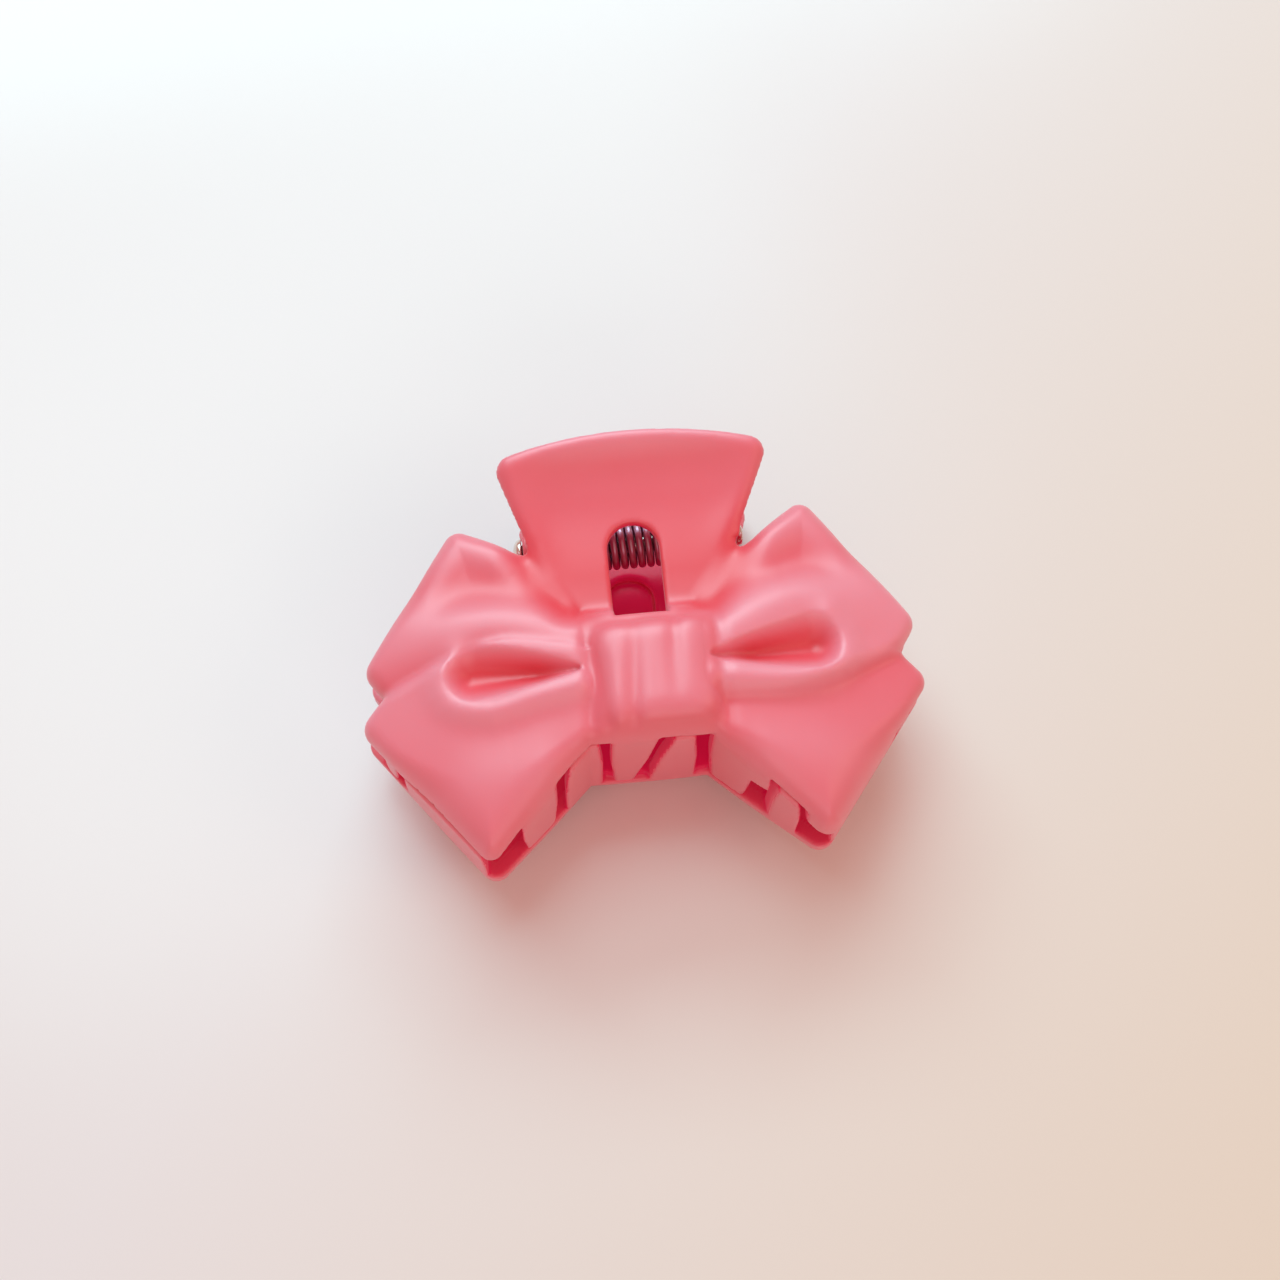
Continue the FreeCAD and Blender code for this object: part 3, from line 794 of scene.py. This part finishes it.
def plastic():
    """Soft-touch coating outside and bare glossy crimson inside, with painted shade and highlight on the
    coating, a painted glow on the bare plastic and painted shade in the back slot's pocket.
    """
    n = Nodes("soft_touch_pink")
    lining_value = n.new("Attribute", attribute_name="lining").outputs["Fac"]
    cloudy = n.span(n.noise(160.0), 0.0, 1.0)
    painted_shading_fac = n.new("Attribute", attribute_name="painted_shading").outputs["Fac"]
    # painted shade and highlight: the coating is a deeper red where the painted shading is low and pinker
    # where it is high
    shaded_coat = n.mix(cloudy, (0.79, 0.036, 0.060, 1), (0.82, 0.050, 0.078, 1))
    highlit_coat = n.mix(cloudy, (0.86, 0.260, 0.335, 1), (0.88, 0.290, 0.365, 1))
    coat = n.mix(painted_shading_fac, shaded_coat, highlit_coat)
    bare = n.mix(cloudy, (0.60, 0.006, 0.045, 1), (0.66, 0.010, 0.060, 1))
    # lining above 1 is the back slot's pocket: painted shade, a darker crimson with less shine and glow
    deep = n.new("MapRange", **{"From Min": 1.0, "From Max": 1.7})
    n.link(lining_value, deep.inputs["Value"])
    shade = n.mix(deep.outputs["Result"], bare, (0.30, 0.001, 0.018, 1))
    n.link(n.mix(lining_value, coat, shade), n.shader.inputs["Base Color"])
    # painted glow: the bare crimson plastic gives off a little light of its own so that it stays bright
    # crimson in shade, less of it in the back slot's pocket
    n.shader.inputs["Emission Color"].default_value = (1.0, 0.015, 0.13, 1)
    painted_glow = n.span(deep.outputs["Result"], 0.15, 0.05)
    n.link(n.span(lining_value, 0.0, painted_glow), n.shader.inputs["Emission Strength"])
    grain = n.noise(9000.0, 2.0)
    coat_rough = n.span(grain, 0.40, 0.48)
    n.link(n.span(lining_value, coat_rough, 0.26), n.shader.inputs["Roughness"])
    n.bump(grain, 0.10, 0.00003)
    bare_shine = n.span(deep.outputs["Result"], 0.18, 0.04)
    n.link(n.span(lining_value, 1.0, bare_shine), n.shader.inputs["Specular IOR Level"])
    n.shader.inputs["Sheen Weight"].default_value = 0.25
    n.shader.inputs["Sheen Roughness"].default_value = 0.45
    n.shader.inputs["Sheen Tint"].default_value = (1.0, 0.85, 0.88, 1)
    n.shader.inputs["Subsurface Weight"].default_value = 0.2
    n.shader.inputs["Subsurface Radius"].default_value = (1.0, 0.35, 0.35)
    n.shader.inputs["Subsurface Scale"].default_value = 0.0012
    return n.material


def metal(name, dark, light, rough_low, rough_high, scale):
    """Metal whose colour and polish drift between two values."""
    n = Nodes(name)
    patch = n.noise(scale)
    n.link(n.mix(patch, dark, light), n.shader.inputs["Base Color"])
    n.link(n.span(n.noise(scale * 4), rough_low, rough_high), n.shader.inputs["Roughness"])
    n.shader.inputs["Metallic"].default_value = 1.0
    n.bump(n.noise(scale * 9), 0.12, 0.00002)
    return n.material


def table_top():
    """A pale satin top with painted warm light towards the near right."""
    n = Nodes("pale_table")
    place = n.new("TexCoord")
    toward = n.new("VectorMath", operation="DOT_PRODUCT")
    n.link(place.outputs["Object"], toward.inputs[0])
    toward.inputs[1].default_value = (0.8, -0.6, 0.0)
    # painted warm light: the top turns a warm cream towards the near right
    painted_warm_light = n.new("MapRange", **{"From Min": -0.02, "From Max": 0.09})
    n.link(toward.outputs["Value"], painted_warm_light.inputs["Value"])
    pale = n.mix(n.noise(5.0), (0.80, 0.80, 0.795, 1), (0.83, 0.83, 0.825, 1))
    n.link(n.mix(painted_warm_light.outputs["Result"], pale, (0.80, 0.73, 0.61, 1)), n.shader.inputs["Base Color"])
    n.link(n.span(n.noise(14.0), 0.20, 0.26), n.shader.inputs["Roughness"])
    n.bump(n.noise(2500.0), 0.03, 0.00002)
    n.shader.inputs["Specular IOR Level"].default_value = 0.6
    return n.material


# ---------------------------------------------------------------- stage
def table():
    """A pale table top that the closed clip lies on."""
    size, depth = 1.6, 0.02
    shape = bmesh.new()
    bmesh.ops.create_grid(shape, x_segments=24, y_segments=24, size=size)
    edge = bmesh.ops.extrude_face_region(shape, geom=shape.faces[:])
    moved = [v for v in edge["geom"] if isinstance(v, bmesh.types.BMVert)]
    bmesh.ops.translate(shape, verts=moved, vec=(0, 0, -depth))
    bmesh.ops.recalc_face_normals(shape, faces=shape.faces)
    mesh = bpy.data.meshes.new("table")
    shape.to_mesh(mesh)
    shape.free()
    top = bpy.data.objects.new("table", mesh)
    top.location.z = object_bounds()[0].z
    top.data.materials.append(table_top())
    bpy.context.scene.collection.objects.link(top)
    top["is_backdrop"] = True


def area_light(name, place, aim, size, power, colour):
    """A rectangular light turned towards a point."""
    data = bpy.data.lights.new(name, "AREA")
    data.shape = "RECTANGLE"
    data.size, data.size_y = size
    data.energy = power
    data.color = colour
    light = bpy.data.objects.new(name, data)
    light.location = place
    light.rotation_euler = (Vector(aim) - Vector(place)).to_track_quat("-Z", "Y").to_euler()
    bpy.context.scene.collection.objects.link(light)


def lights():
    """A cool window and skylight from behind, a warm lamp at the right, and a warm room."""
    area_light("window", (-0.08, 0.64, 0.54), (0, 0, 0), (0.80, 0.30), 5.2, (0.46, 0.80, 0.86))
    area_light("skylight", (-0.12, 0.36, 0.84), (0, 0, 0), (0.60, 0.40), 2.7, (0.46, 0.80, 0.86))
    area_light("lamp", (0.7, -0.20, 0.5), (0, 0, 0), (0.4, 0.4), 0.7, (1.0, 0.74, 0.55))
    area_light("bounce", (0.05, -0.75, 0.42), (0, 0, 0), (0.9, 0.5), 1.6, (0.9, 0.90, 0.90))
    world = bpy.data.worlds.new("room")
    world.use_nodes = True
    world.node_tree.nodes["Background"].inputs["Color"].default_value = (1.0, 0.50, 0.44, 1)
    world.node_tree.nodes["Background"].inputs["Strength"].default_value = 0.58
    bpy.context.scene.world = world


def camera(azimuth=-9.0, elevation=71.5, roll=3.3, distance=0.215, lens=56.0, rise=0.0018):
    """A steep close view from the teeth's side."""
    low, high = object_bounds()
    middle = (low + high) / 2
    a, e = math.radians(azimuth), math.radians(elevation)
    back = Vector((math.sin(a) * math.cos(e), -math.cos(a) * math.cos(e), math.sin(e)))
    turn = (-back).to_track_quat("-Z", "Y") @ Quaternion((0, 0, 1), math.radians(roll))
    up = turn @ Vector((0, 1, 0))
    data = bpy.data.cameras.new("camera")
    data.lens = lens
    data.sensor_width = 36.0
    eye = bpy.data.objects.new("camera", data)
    eye.location = middle + back * distance + up * rise
    eye.rotation_mode = "QUATERNION"
    eye.rotation_quaternion = turn
    bpy.context.scene.collection.objects.link(eye)
    bpy.context.scene.camera = eye


# ---------------------------------------------------------------- assembly
pink = plastic()
for owner in ("front", "back"):
    moulding = jaw(owner)
    moulding.data.materials.append(pink)
    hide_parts(owner + "_jaw")
    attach(moulding, owner)

rivet = hinge_rivet()
rivet.data.materials.append(
    metal("plated_steel", (0.72, 0.64, 0.56, 1), (0.90, 0.84, 0.78, 1), 0.12, 0.24, 700.0)
)
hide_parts("hinge_pin")
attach(rivet, "back")

spring = coil_spring()
# the wire's purple-pink tint is a painted reflection of the pink plastic around it
spring.data.materials.append(
    metal("spring_wire", (0.42, 0.24, 0.34, 1), (0.60, 0.40, 0.50, 1), 0.28, 0.40, 900.0)
)
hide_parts("torsion_spring")
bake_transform(spring)

table()
lights()
camera()
bpy.context.scene.view_settings.view_transform = "Standard"
